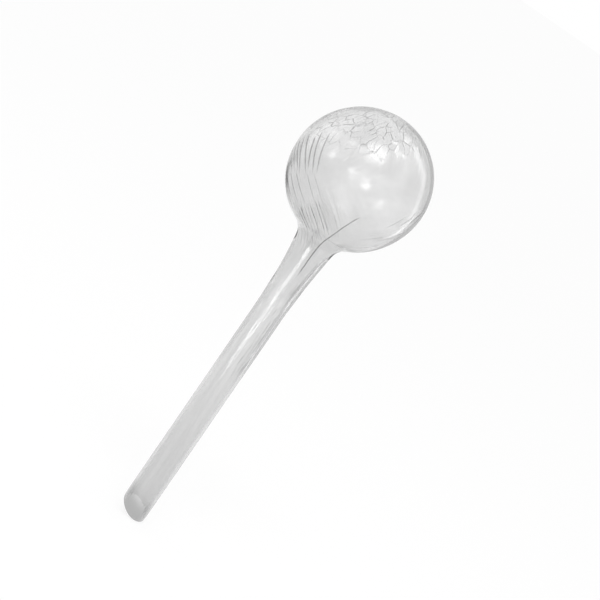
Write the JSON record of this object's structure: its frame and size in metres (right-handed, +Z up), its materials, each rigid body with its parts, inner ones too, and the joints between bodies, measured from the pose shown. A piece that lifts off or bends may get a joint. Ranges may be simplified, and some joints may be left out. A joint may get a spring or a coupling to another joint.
{
  "type": "watering globe",
  "caption": "Clear plastic watering globe: a hollow rippled ball on a flared neck, with a straight hollow stem cut to a slanted mouth, pushed into pot soil to let water out slowly.",
  "frame": {"origin": "on the stem's axis at the soil line, where the foot of the neck stands on the stem's shoulder", "axes": "+Z up along the stem's axis, from the mouth to the globe; the mouth's point and the heavier side of the globe's wall are at 52 degrees from +X towards -Y"},
  "size_m": [0.08, 0.08, 0.2643],
  "materials": {
    "blown_clear_pvc": "clear, blown, rippled gloss",
    "extruded_clear_pvc": "clear, extruded, smooth gloss"
  },
  "bodies": {
    "root": {"globe_bulb": "blown_clear_pvc", "stem_tube": "extruded_clear_pvc"}
  },
  "joints": []
}
